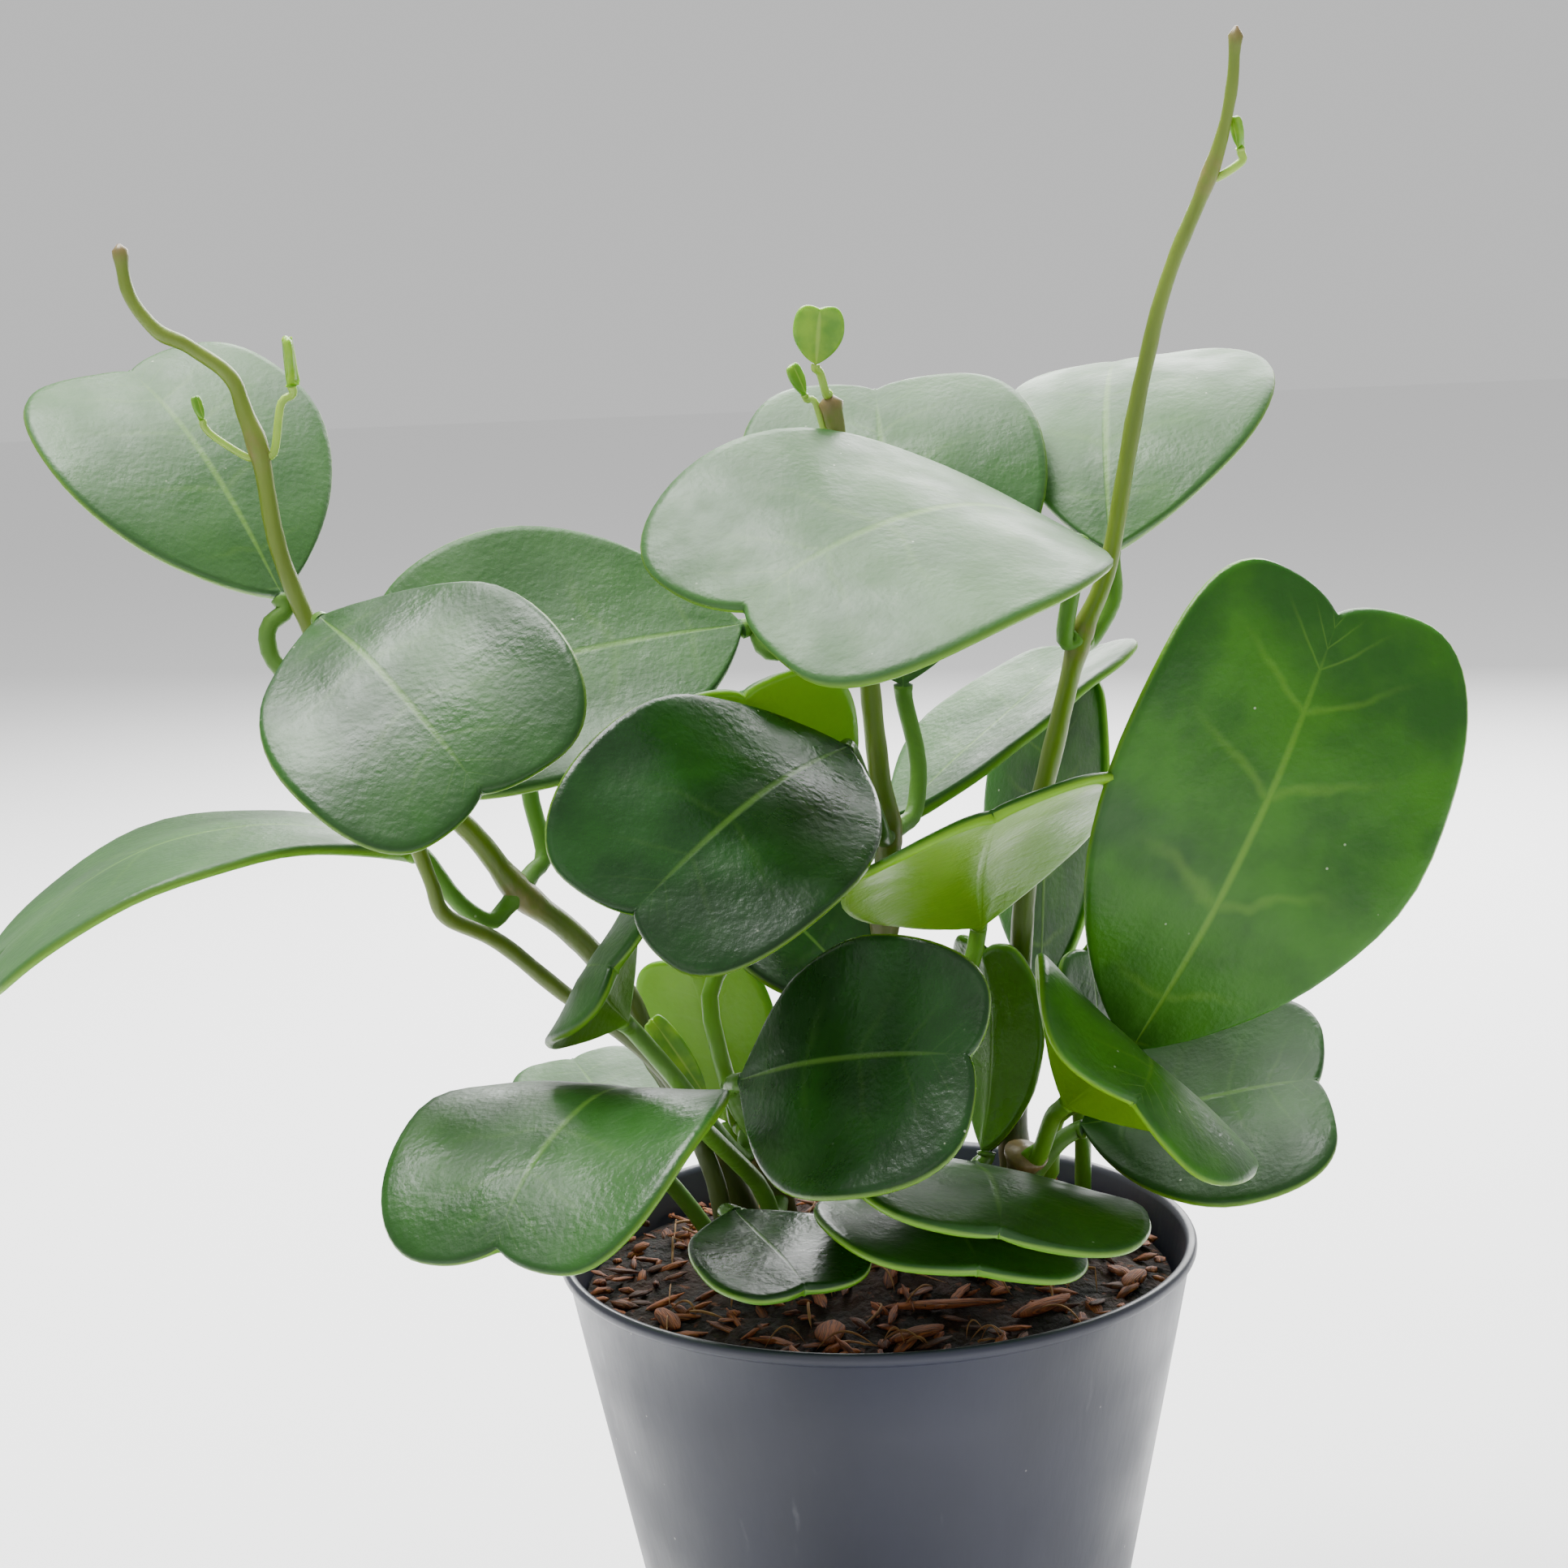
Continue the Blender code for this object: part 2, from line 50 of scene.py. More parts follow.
SOIL_EDGE = 87.0
MOUND_HEIGHT = 12.0
MOUND_CENTRE = (8.0, 12.0)
MOUND_SPREAD = 22.0

POT_BASE_RADIUS = 35.8
POT_WALL = 1.1
POT_FLOOR = 1.6
POT_SIDES = 144
DRAIN_HOLES = 8
DRAIN_RADIUS = 4.0
DRAIN_CIRCLE = 25.0           # radius of the circle that the drain holes lie on
MIX_FOOT_RADIUS = 34.2

WIDEST = 0.64
LOBE_RISE = 0.05
BLADE_THICKNESS = 1.7
STALK_RADIUS = 1.5
BLADE_STATIONS = 52
STALK_STATIONS = 18
HALF_RIB = 9                  # points from the midrib to the edge on one face
STEM_AROUND = 18
LITTER_COUNT = 420
LITTER_REACH = 50.5
FIBRE_COUNT = 90
FIBRE_REACH = 47.0

STEMS = {
    "stem_left": (2.5, 1.0, [
        (-20, 8), (-24, 5, 102), (-29, 4, 113), (-34, 4, 122), (-38, 2, 130), (-42, 0, 141),
        (-50, -3, 152), (-58, -6, 160), (-64, -7, 169), (-70, -7, 176), (-78, -5, 185),
        (-85, -2, 193), (-90, 0, 203), (-95, 0, 218), (-97, 0, 234), (-99, 0, 241),
        (-101, 0, 247), (-107, -1, 252), (-112, -2, 255), (-116, -2, 261), (-117, -2, 269)]),
    "runner_left": (1.7, 1.2, [
        (-25, -4), (-27, -7, 106), (-30, -9, 117), (-34, -9, 127), (-41, -9, 135),
        (-51, -10, 143), (-61, -13, 153), (-69, -18, 159), (-71, -19, 165), (-74, -18, 174)]),
    "stem_middle": (2.6, 1.3, [
        (0, 8), (0, 4, 106), (2, 2, 126), (3, -1, 148), (4, -3, 167), (3, -3, 177),
        (2, -2, 191), (1, 1, 211), (-1, 3, 227), (-3, 4, 240)]),
    "stem_right": (2.4, 0.9, [
        (24, 17), (25, 15, 102), (26, 14, 122), (27, 12, 140), (29, 10, 160), (34, 8, 181),
        (38, 6, 197), (43, 5, 210), (48, 4, 236), (53, 2, 256), (60, 0, 273), (63, -2, 284),
        (64, -4, 296)]),
    "stub_left": (2.4, 2.0, [(-14, 6), (-17, 1, 103), (-21, -2, 115)]),
    "stub_right": (2.6, 2.2, [(22, 2), (24, -4, 104), (26, -7, 112)]),
}

# Leaves, mm: carrier (stem and height, or a spot in the mix), stalk points on the way, blade base,
# notch, facing of the upper side, width, cup (edge lift), arch (rise of the midrib), skew
LEAVES = {
    "leaf_left_upper": (("stem_left", 194), [(-97, 1, 199), (-98, 1, 205)],
                        (-96, 3, 210), (-124, 31, 247), (0.27, -0.64, 0.72), 49, 0.01, 0.09, -0.02),
    "leaf_left_front": (("stem_left", 196), [(-87, -5.2, 204.6)],
                        (-87, -10, 207), (-59, -48, 185), (-0.20, -0.56, 0.80), 49, 0.07, 0.09, -0.05),
    "leaf_left_back": (("stem_middle", 200), [(-14, -2, 198)],
                       (-19, -1, 202), (-74, -12, 194), (0.04, -0.71, 0.70), 53, 0.11, 0.05, 0),
    "leaf_left_arching": (("stem_left", 159), [(-63, -10, 156), (-68, -11, 160)],
                          (-75, -10, 168), (-139, -26, 157), (-0.16, -0.03, 0.99), 52, 0, 0.16, 0),
    "leaf_left_hidden": (("stem_left", 161), [(-54, 0, 165), (-56, 3, 174)],
                         (-56, 5, 182), (-52, 33, 207), (-0.49, -0.53, 0.69), 39, 0.02, 0.04, 0),
    "leaf_top_broad": (("stem_right", 196), [(36.8, 2.3, 207.7)],
                       (37, 0, 214), (-18, -44, 210), (0.17, -0.30, 0.94), 70, 0.05, 0.15, 0),
    "leaf_top_back": (("stem_middle", 168), [(9, 4, 169), (10, 7, 177)],
                      (8, 9, 190), (6, 39, 238), (-0.04, -0.82, 0.56), 53, 0.04, 0.16, 0.06),
    "leaf_front_glossy": (("stem_middle", 166), [(2, -12, 171)],
                          (-3, -16, 183), (-36, -59, 168), (0.33, -0.53, 0.78), 46, 0.09, 0.12, 0.05),
    "leaf_middle_upright": (("stub_left", 112), [(-24, -1, 121), (-26, -4, 131), (-27, -1, 140)],
                            (-22, 4, 151), (-19, -20, 194), (-0.39, 0.81, 0.44), 40, -0.05, 0, -0.05),
    "leaf_back_slanting": (("stem_middle", 152), [(6, 10, 155)],
                           (7, 21, 164), (43, 48, 188), (-0.51, -0.15, 0.85), 44, 0.10, 0.02, 0),
    "leaf_right_upper": (("stem_right", 198), [(44, 9, 203)],
                         (44, 10, 211), (51, 59, 240), (-0.20, -0.48, 0.85), 49, -0.06, 0.13, 0.2),
    "leaf_right_tall": (("stem_right", 106), [(32, 8, 112), (38, -6, 121)],
                        (42, -20, 133), (75, -27, 204), (0.12, -0.98, -0.10), 56, 0.13, 0.09, 0.02),
    "leaf_right_back": (("stem_right", 118), [(29, 26, 121)],
                        (33, 32, 129), (38, 51, 180), (-0.89, -0.45, 0.10), 42, 0.05, 0.01, 0),
    "leaf_middle_shelf": (("stem_middle", 127), [(10, 0, 131), (17, 1, 141)],
                          (19, 1, 150), (19, -44, 177), (-0.33, 0.45, 0.81), 49, 0.0, 0.05, 0),
    "leaf_centre_upright": ((16, 10), [(18, 9, 103.4)],
                            (20, 10, 106), (21, 9, 143), (0.70, 0.70, 0.05), 20, 0.08, 0.08, 0),
    "leaf_centre_back": ((-6, 22), [(-1, 20, 118)],
                         (-1, 18, 132), (-22, 24, 154), (0.50, -0.65, 0.57), 33, 0.12, 0.07, 0),
    "leaf_front_low": ((-6, 2), [(-14, -10, 112), (-20, -24, 122)],
                       (-21, -32, 133), (13, -64, 145), (-0.70, -0.52, 0.49), 42, 0.20, 0.09, 0.12),
    "leaf_right_curled": (("stub_right", 111), [(29.7, -11.9, 118.5)],
                          (32, -15, 122), (38, -56, 134), (0.67, 0.41, 0.60), 48, 0, 0.24, 0),
    "leaf_right_low": (("stub_right", 103), [(31.2, -1.9, 110.6)],
                       (36, -1, 113), (75, -9, 122), (-0.15, -0.50, 0.85), 46, 0, 0.03, 0.04),
    "leaf_right_inner": ((38, 22), [(38, 19.5, 104)],
                         (38, 17, 112), (38, 9, 142), (0.74, -0.61, -0.29), 22, 0.10, 0.06, 0),
    "leaf_left_low": (("stub_left", 104), [(-20, -9, 108), (-27, -23, 121)],
                      (-32, -33, 129), (-57, -81, 124), (-0.09, -0.05, 0.99), 51, 0.05, 0.20, 0),
    "leaf_left_curled": (("stub_left", 115), [(-33, -18, 130)],
                         (-41, -21, 141), (-40, -50, 157), (-0.78, 0.20, 0.44), 30, 0, 0.16, -0.12),
    "leaf_left_ground": ((-30, 16), [(-36, 13, 101.6)],
                         (-42, 10, 109), (-54, 36, 118), (-0.04, -0.18, 0.98), 29, 0, 0.02, 0),
    "leaf_left_rim": ((-10, -8), [(-16, -14, 101)],
                      (-24, -22, 107), (-13, -52, 105), (0.00, -0.10, 1.00), 28, 0.1, 0.03, 0),
    "leaf_left_inner": ((-22, 22), [(-23.5, 20, 103.5)],
                        (-25, 18, 111), (-31, 19, 140), (0.30, 0.90, 0.20), 26, 0, 0.06, 0),
    "leaf_rim_upper": ((12, 2), [(14, -8, 108)],
                       (16, -18, 112), (17, -60, 116), (0.23, 0.09, 0.97), 50, 0.01, 0.07, 0),
    "leaf_rim_lower": ((4, 0), [(4, -6, 101)],
                       (5, -14, 104), (14, -54, 108), (0.20, 0.09, 0.98), 44, 0, 0.07, 0.04),
}

# Young growth, mm, as the leaves, then stalk radius, lobe rise and thickness
YOUNG = {
    "young_leaf_left": (("stem_left", 236), [(-93, 0, 242)],
                        (-91, 0, 245), (-91, -2, 253), (-0.9, -0.3, 0), 4, 0, 0, 0, 0.7, 0, 1.3),
    "young_leaf_left_small": (("stem_left", 235), [(-104, 0, 237)],
                              (-106, 0, 240), (-107, 0, 244), (0.6, -0.6, 0.2), 2, 0, 0, 0, 0.6, 0, 0.9),
    "young_leaf_top": (("stem_middle", 239), [(-4.3, 1.8, 243.5)],
                       (-5, 1, 245), (-4, 0, 254), (0.1, -1, 0), 8.5, 0.15, 0, 0, 0.7, 0.06, 0.9),
    "young_leaf_top_small": (("stem_middle", 236), [(-5.3, 3.8, 238.7)],
                             (-7, 4, 240), (-9, 3, 245), (0.6, -0.8, 0.2), 3.2, 0, 0, 0, 0.6, 0, 0.9),
    "young_leaf_right": (("stem_right", 273), [(65.2, 0.1, 274.8)],
                         (65, 0, 277), (64, -1, 282), (-0.7, -0.6, 0), 2.6, 0, 0, 0, 0.7, 0, 1.1),
    "sprout_left": (("stem_left", 111), [(-28, -2.7, 119.7)],
                    (-28, -7, 122), (-37, -10, 138), (0.5, -0.8, 0.2), 5, 0.2, 0.03, 0, 1.0, 0, 1.2),
}

# Bark chips lying on the mix, mm: middle, heading in degrees, length, width, thickness
BARK = {
    "bark_chip_front": (5, -33, 25, 11, 4.2, 2.2),
    "bark_chip_right": (26, -25, 35, 13, 3.8, 2.4),
    "bark_strip": (10, -24, -6, 22, 3.2, 1.6),
    "bark_chip_left": (-9, -31, 80, 9, 5.5, 2.6),
    "bark_chip_far_right": (43, -13, 60, 8, 4.0, 2.4),
    "bark_chip_rim_left": (-36, -20, 110, 10, 4.5, 2.4),
    "bark_chip_back": (-10, 40, 20, 12, 5.0, 2.6),
    "bark_chip_back_right": (22, 36, -40, 10, 4.5, 2.4),
}


# How each leaf is finished: deep and glossy, broad and mid green, bloomed grey-green, or fresh
FINISH = {
    "leaf_left_upper": "bloomed", "leaf_left_front": "broad", "leaf_left_back": "bloomed",
    "leaf_left_arching": "bloomed", "leaf_left_hidden": "bloomed", "leaf_top_broad": "bloomed",
    "leaf_top_back": "bloomed", "leaf_front_glossy": "deep", "leaf_middle_upright": "fresh",
    "leaf_back_slanting": "bloomed", "leaf_right_upper": "bloomed", "leaf_right_tall": "fresh",
    "leaf_right_back": "fresh", "leaf_middle_shelf": "fresh", "leaf_centre_upright": "deep",
    "leaf_centre_back": "deep", "leaf_front_low": "deep", "leaf_right_curled": "fresh",
    "leaf_right_low": "broad", "leaf_right_inner": "broad", "leaf_left_low": "broad",
    "leaf_left_curled": "broad", "leaf_left_ground": "bloomed", "leaf_left_rim": "deep",
    "leaf_left_inner": "fresh", "leaf_rim_upper": "broad", "leaf_rim_lower": "broad",
}


# ---------------------------------------------------------------- shared shape functions

def unit(vector):
    """The vectors scaled to length one along their last axis."""
    vector = np.asarray(vector, float)
    return vector / np.linalg.norm(vector, axis=-1, keepdims=True)


def wavy(points, wavelength, seed, octaves=3):
    """Smooth pseudo-random height of points: sines in random directions, halving in size and strength."""
    random = np.random.default_rng(seed)
    total = np.zeros(points.shape[:-1])
    for octave in range(octaves):
        for _ in range(5):
            direction = unit(random.normal(size=points.shape[-1]))
            phase = random.uniform(0, 2 * np.pi)
            pitch = wavelength / 2 ** octave * random.uniform(0.7, 1.4)
            total += np.sin(points @ direction * 2 * np.pi / pitch + phase) / (5 * 1.7 ** octave)
    return total


def soil_height(x, y):
    """Height of the mix: its level at the rim plus a bell-shaped mound round the stems."""
    away = (x - MOUND_CENTRE[0]) ** 2 + (y - MOUND_CENTRE[1]) ** 2
    return SOIL_EDGE + MOUND_HEIGHT * np.exp(-away / (2 * MOUND_SPREAD ** 2))


def smooth_route(points, steps):
    """Catmull-Rom curve through the points, with this many steps from each to the next."""
    points = np.asarray(points, float)
    padded = np.vstack([2 * points[0] - points[1], points, 2 * points[-1] - points[-2]])
    before, start, end, after = padded[:-3], padded[1:-2], padded[2:-1], padded[3:]
    t = np.linspace(0, 1, steps, endpoint=False)[:, None, None]
    curve = 0.5 * (2 * start + (end - before) * t
                   + (2 * before - 5 * start + 4 * end - after) * t ** 2
                   + (3 * start - before - 3 * end + after) * t ** 3)
    return np.vstack([curve.transpose(1, 0, 2).reshape(-1, 3), points[-1]])


def carried_frames(route, across):
    """Across and up vectors along a route, the across vector carried along without twisting."""
    tangent = unit(np.gradient(route, axis=0))
    carried = []
    for direction in tangent:
        across = unit(across - (across @ direction) * direction)
        carried.append(across)
    carried = np.array(carried)
    return carried, np.cross(tangent, carried)


def closed_skin(rings, tip=None):
    """Points and faces over rings joined in order, with a flat cap first and a cap or a tip last."""
    count, around = rings.shape[:2]
    index = np.arange(count * around).reshape(count, around)
    here, above = index[:-1], index[1:]
    faces = np.stack([here, np.roll(here, -1, axis=1), np.roll(above, -1, axis=1), above], axis=-1)
    faces = faces.reshape(-1, 4).tolist() + [index[0][::-1].tolist()]
    points = rings.reshape(-1, 3)
    if tip is None:
        return points, faces + [index[-1].tolist()]
    last = index[-1]
    fan = np.stack([last, np.roll(last, -1), np.full(around, len(points))], axis=-1)
    return np.vstack([points, tip]), faces + fan.tolist()


def add_piece(name, points, faces, material, node=None, guide=None):
    """A smooth piece of points in mm; guide is a vector per point that its material follows."""
    mesh = bpy.data.meshes.new(name)
    mesh.from_pydata((np.asarray(points) * MM).tolist(), [], faces)
    mesh.materials.append(material)
    mesh.shade_smooth()
    if guide is not None:
        attribute = mesh.attributes.new("guide", "FLOAT_VECTOR", "POINT")
        attribute.data.foreach_set("vector", np.asarray(guide, np.float32).ravel())
    piece = bpy.data.objects.new(name, mesh)
    bpy.context.scene.collection.objects.link(piece)
    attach(piece, BODY)
    if node:
        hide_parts(node)
    return piece


# ---------------------------------------------------------------- materials

class Paint:
    """A Principled material and short ways to add the nodes that colour it."""

    def __init__(self, name, roughness, **constants):
        self.material = bpy.data.materials.new(name)
        self.material.use_nodes = True
        self.tree = self.material.node_tree
        self.shader = self.tree.nodes["Principled BSDF"]
        self.shader.inputs["Roughness"].default_value = roughness
        for socket, value in constants.items():
            self.shader.inputs[socket.replace("_", " ")].default_value = value

    def link(self, source, target):
        """Join an output to an input, or set the input if the source is a plain value."""
        if isinstance(source, bpy.types.NodeSocket):
            self.tree.links.new(source, target)
        else:
            target.default_value = source

    def place(self):
        """Object coordinates."""
        return self.tree.nodes.new("ShaderNodeTexCoord").outputs["Object"]

    def guide(self):
        """The three numbers that the piece carries on its points."""
        attribute = self.tree.nodes.new("ShaderNodeAttribute")
        attribute.attribute_name = "guide"
        split = self.tree.nodes.new("ShaderNodeSeparateXYZ")
        self.link(attribute.outputs["Vector"], split.inputs[0])
        return split.outputs

    def math(self, operation, a, b=0.0):
        """One sum on one or two numbers."""
        node = self.tree.nodes.new("ShaderNodeMath")
        node.operation = operation
        self.link(a, node.inputs[0])
        self.link(b, node.inputs[1])
        return node.outputs[0]

    def ramp(self, value, low, high, start=0.0, end=1.0):
        """Value from low to high eased into start to end."""
        node = self.tree.nodes.new("ShaderNodeMapRange")
        node.interpolation_type = "SMOOTHSTEP"
        for socket, number in zip(node.inputs, (value, low, high, start, end)):
            self.link(number, socket)
        return node.outputs[0]

    def noise(self, scale, detail=3.0, stretch=(1, 1, 1), distortion=0.0):
        """Noise of this scale per metre, squeezed along the axes by stretch."""
        mapping = self.tree.nodes.new("ShaderNodeMapping")
        mapping.inputs["Scale"].default_value = stretch
        self.link(self.place(), mapping.inputs["Vector"])
        node = self.tree.nodes.new("ShaderNodeTexNoise")
        node.inputs["Scale"].default_value = scale
        node.inputs["Detail"].default_value = detail
        node.inputs["Distortion"].default_value = distortion
        self.link(mapping.outputs[0], node.inputs["Vector"])
        return node.outputs["Fac"]

    def specks(self, scale, size):
        """One where a small round speck lies, zero elsewhere."""
        node = self.tree.nodes.new("ShaderNodeTexVoronoi")
        node.inputs["Scale"].default_value = scale
        self.link(self.place(), node.inputs["Vector"])
        return self.ramp(node.outputs["Distance"], size, size * 0.5)

    def mix(self, share, a, b):
        """Colour a turning into colour b."""
        node = self.tree.nodes.new("ShaderNodeMix")
        node.data_type = "RGBA"
        self.link(share, node.inputs["Factor"])
        for colour, socket in ((a, node.inputs[6]), (b, node.inputs[7])):
            self.link(colour if isinstance(colour, bpy.types.NodeSocket) else (*colour, 1), socket)
        return node.outputs[2]

    def colour(self, source):
        """Set the base colour."""
        self.link(source, self.shader.inputs["Base Color"])

    def bump(self, height, strength, distance):
        """Relief of this height in metres."""
        node = self.tree.nodes.new("ShaderNodeBump")
        node.inputs["Strength"].default_value = strength
        node.inputs["Distance"].default_value = distance
        self.link(height, node.inputs["Height"])
        self.link(node.outputs[0], self.shader.inputs["Normal"])


LEAF_FINISHES = {
    # upper colours dark and light, bloom colour and share, underside, roughness, light through
    "deep": ((0.003, 0.022, 0.002), (0.008, 0.052, 0.004), (0.05, 0.12, 0.055), 0.05,
             (0.05, 0.15, 0.006), 0.27, 0.04),
    "broad": ((0.005, 0.040, 0.002), (0.014, 0.080, 0.004), (0.05, 0.13, 0.035), 0.18,
              (0.09, 0.24, 0.008), 0.36, 0.06),
    "bloomed": ((0.008, 0.055, 0.004), (0.022, 0.095, 0.009), (0.075, 0.175, 0.055), 0.42,
                (0.11, 0.27, 0.012), 0.44, 0.08),
    "fresh": ((0.010, 0.070, 0.001), (0.034, 0.150, 0.002), (0.05, 0.17, 0.02), 0.06,
              (0.15, 0.33, 0.004), 0.38, 0.22),
}


VEIN_SHARE = {"deep": 0.05, "broad": 0.08, "bloomed": 0.10, "fresh": 0.20}


def leaf_paint(name):
    """Waxy leaf: pale sunk midrib, faint side veins along the ribs, thin light margin, specks, bloom."""
    dark, light, bloom, share, under, roughness, through = LEAF_FINISHES[name]
    paint = Paint(f"leaf_{name}", roughness, Subsurface_Weight=through, Subsurface_Scale=0.004,
                  Subsurface_Radius=(0.45, 1.0, 0.12), Specular_IOR_Level=0.3)
    rib, along, side = paint.guide()[:3]
    out = paint.math("ABSOLUTE", rib)
    patches = paint.ramp(paint.noise(55, 4), 0.35, 0.68)
    top = paint.mix(patches, dark, light)
    haze = paint.math("MULTIPLY", paint.ramp(paint.noise(38, 5, distortion=0.6), 0.2, 0.75, 0.55, 1), share)
    top = paint.mix(haze, top, bloom)
    wander = paint.math("MULTIPLY", paint.noise(120, 2), 0.35)
    turn = paint.math("FRACT", paint.math("ADD", paint.math("MULTIPLY", along, 8.0), wander))
    vein = paint.ramp(paint.math("ABSOLUTE", paint.math("SUBTRACT", turn, 0.5)), 0.09, 0.0)
    vein = paint.math("MULTIPLY", vein, paint.ramp(out, 0.8, 0.2, 0, VEIN_SHARE[name]))
    midrib = paint.math("MULTIPLY", paint.ramp(out, 0.035, 0.006), paint.ramp(along, 0.9, 0.2, 0.05, 0.45))
    lines = paint.math("MAXIMUM", vein, midrib)
    pale = tuple(0.75 * a + 0.25 * b for a, b in zip(under, (0.30, 0.48, 0.12)))
    top = paint.mix(lines, top, pale)
    base = paint.mix(paint.ramp(side, 0.25, -0.25), top, paint.mix(lines, under, pale))
    margin = paint.ramp(out, 0.982, 0.999, 0, 0.6)
    base = paint.mix(margin, base, (0.14, 0.28, 0.015))
    speck = paint.math("MULTIPLY", paint.specks(260, 0.07), paint.ramp(paint.noise(70, 2), 0.5, 0.62))
    paint.colour(paint.mix(paint.math("MULTIPLY", speck, 0.5), base, (0.55, 0.62, 0.45)))
    paint.link(paint.ramp(paint.noise(90, 4), 0.3, 0.7, roughness - 0.07, roughness + 0.1),
               paint.shader.inputs["Roughness"])
    grain = paint.math("ADD", paint.noise(900, 4), paint.math("MULTIPLY", paint.noise(160, 3), 2.0))
    paint.bump(paint.math("SUBTRACT", grain, lines), 0.22, 0.0005)
    return paint.material


def stem_paint():
    """Olive stem, paler and yellower towards its tip, brown and corky at nodes and at the very end."""
    paint = Paint("stem_skin", 0.42, Subsurface_Weight=0.08, Subsurface_Scale=0.002)
    along, knob, tip = paint.guide()[:3]
    streak = paint.noise(220, 4, stretch=(1, 1, 0.12))
    low = paint.mix(streak, (0.018, 0.036, 0.003), (0.06, 0.085, 0.008))
    high = paint.mix(streak, (0.085, 0.135, 0.006), (0.17, 0.25, 0.018))
    base = paint.mix(paint.ramp(along, 0.15, 0.75), low, high)
    cork = paint.mix(paint.noise(600, 4), (0.10, 0.055, 0.02), (0.26, 0.18, 0.07))
    corky = paint.ramp(paint.noise(300, 3), 0.3, 0.6, 0.1, 0.6)
    base = paint.mix(paint.math("MULTIPLY", knob, corky), base, cork)
    paint.colour(paint.mix(tip, base, cork))
    paint.bump(paint.noise(700, 4, stretch=(1, 1, 0.3)), 0.3, 0.0006)
    return paint.material


def young_paint():
    """Thin new growth: bright yellow-green, lets light through, pale midrib."""
    paint = Paint("young_leaf_skin", 0.38, Subsurface_Weight=0.35, Subsurface_Scale=0.002,
                  Subsurface_Radius=(0.6, 1.0, 0.1))
    rib = paint.math("ABSOLUTE", paint.guide()[0])
    base = paint.mix(paint.ramp(paint.noise(240, 3), 0.3, 0.7), (0.10, 0.27, 0.008), (0.24, 0.43, 0.015))
    paint.colour(paint.mix(paint.ramp(rib, 0.14, 0.02, 0, 0.5), base, (0.42, 0.55, 0.10)))
    paint.bump(paint.noise(1200, 3), 0.15, 0.0003)
    return paint.material


def pot_paint():
    """Thin moulded plastic: slate grey, satin, with handling scuffs, dust and flow lines."""
    paint = Paint("nursery_pot_plastic", 0.36, Specular_IOR_Level=0.5)
    cloud = paint.ramp(paint.noise(18, 5, stretch=(1, 1, 0.5)), 0.3, 0.75)
    base = paint.mix(cloud, (0.010, 0.012, 0.024), (0.022, 0.025, 0.046))
    scuff = paint.math("MULTIPLY", paint.ramp(paint.noise(260, 6, stretch=(1, 1, 0.2)), 0.62, 0.75),
                       paint.ramp(paint.noise(30, 2), 0.5, 0.7, 0, 0.5))
    base = paint.mix(scuff, base, (0.12, 0.125, 0.14))
    paint.colour(paint.mix(paint.math("MULTIPLY", paint.specks(150, 0.045), 0.5), base, (0.34, 0.33, 0.32)))
    paint.link(paint.ramp(paint.noise(45, 5), 0.3, 0.7, 0.30, 0.46), paint.shader.inputs["Roughness"])
    paint.bump(paint.noise(500, 4, stretch=(1, 1, 0.25)), 0.12, 0.0004)
    return paint.material


def mix_paint():
    """Dark damp peat with rusty crumbs."""
    paint = Paint("potting_mix_peat", 0.9)
    base = paint.mix(paint.ramp(paint.noise(160, 6), 0.35, 0.7), (0.004, 0.002, 0.001), (0.030, 0.009, 0.004))
    paint.colour(paint.mix(paint.ramp(paint.noise(420, 4), 0.6, 0.72, 0, 0.7), base, (0.16, 0.05, 0.018)))
    paint.bump(paint.noise(900, 6), 0.8, 0.0015)
    return paint.material


def bark_paint(name, dark, light):
    """Splintered bark: colour and relief run along the grain carried in the guide."""
    paint = Paint(name, 0.72)
    grain, across, tone = paint.guide()[:3]
    merge = paint.tree.nodes.new("ShaderNodeCombineXYZ")
    paint.link(paint.math("MULTIPLY", grain, 0.12), merge.inputs[0])
    paint.link(across, merge.inputs[1])
    paint.link(tone, merge.inputs[2])
    fibre = paint.tree.nodes.new("ShaderNodeTexNoise")
    fibre.inputs["Scale"].default_value = 2.2
    fibre.inputs["Detail"].default_value = 6
    paint.link(merge.outputs[0], fibre.inputs["Vector"])
    base = paint.mix(paint.ramp(fibre.outputs["Fac"], 0.3, 0.7), dark, light)
    paint.colour(paint.mix(paint.ramp(tone, 0.55, 1.0, 0, 0.8), base, tuple(0.25 * c for c in dark)))
    paint.bump(fibre.outputs["Fac"], 0.7, 0.0008)
    return paint.material


LEAF_PAINTS = {name: leaf_paint(name) for name in LEAF_FINISHES}
STEM_PAINT = stem_paint()
YOUNG_PAINT = young_paint()
POT_PAINT = pot_paint()
MIX_PAINT = mix_paint()
BARK_PAINT = bark_paint("bark_rust", (0.055, 0.009, 0.003), (0.36, 0.095, 0.016))
FIBRE_PAINT = bark_paint("bark_fibre", (0.20, 0.07, 0.02), (0.50, 0.26, 0.09))


# ---------------------------------------------------------------- stems

def stem_route(name, steps=8):
    """The smooth centre line of a stem, its foot sunk a little into the mix."""
    first, *rest = STEMS[name][2]
    foot = [first[0], first[1], soil_height(*first) - 3.0]
    return smooth_route([foot, *rest], steps)


def carried_heights(name):
    """Heights on a stem where leaves and shoots spring from it."""
    leaves = [*LEAVES.values(), *YOUNG.values()]
    return [leaf[0][1] for leaf in leaves if leaf[0][0] == name]


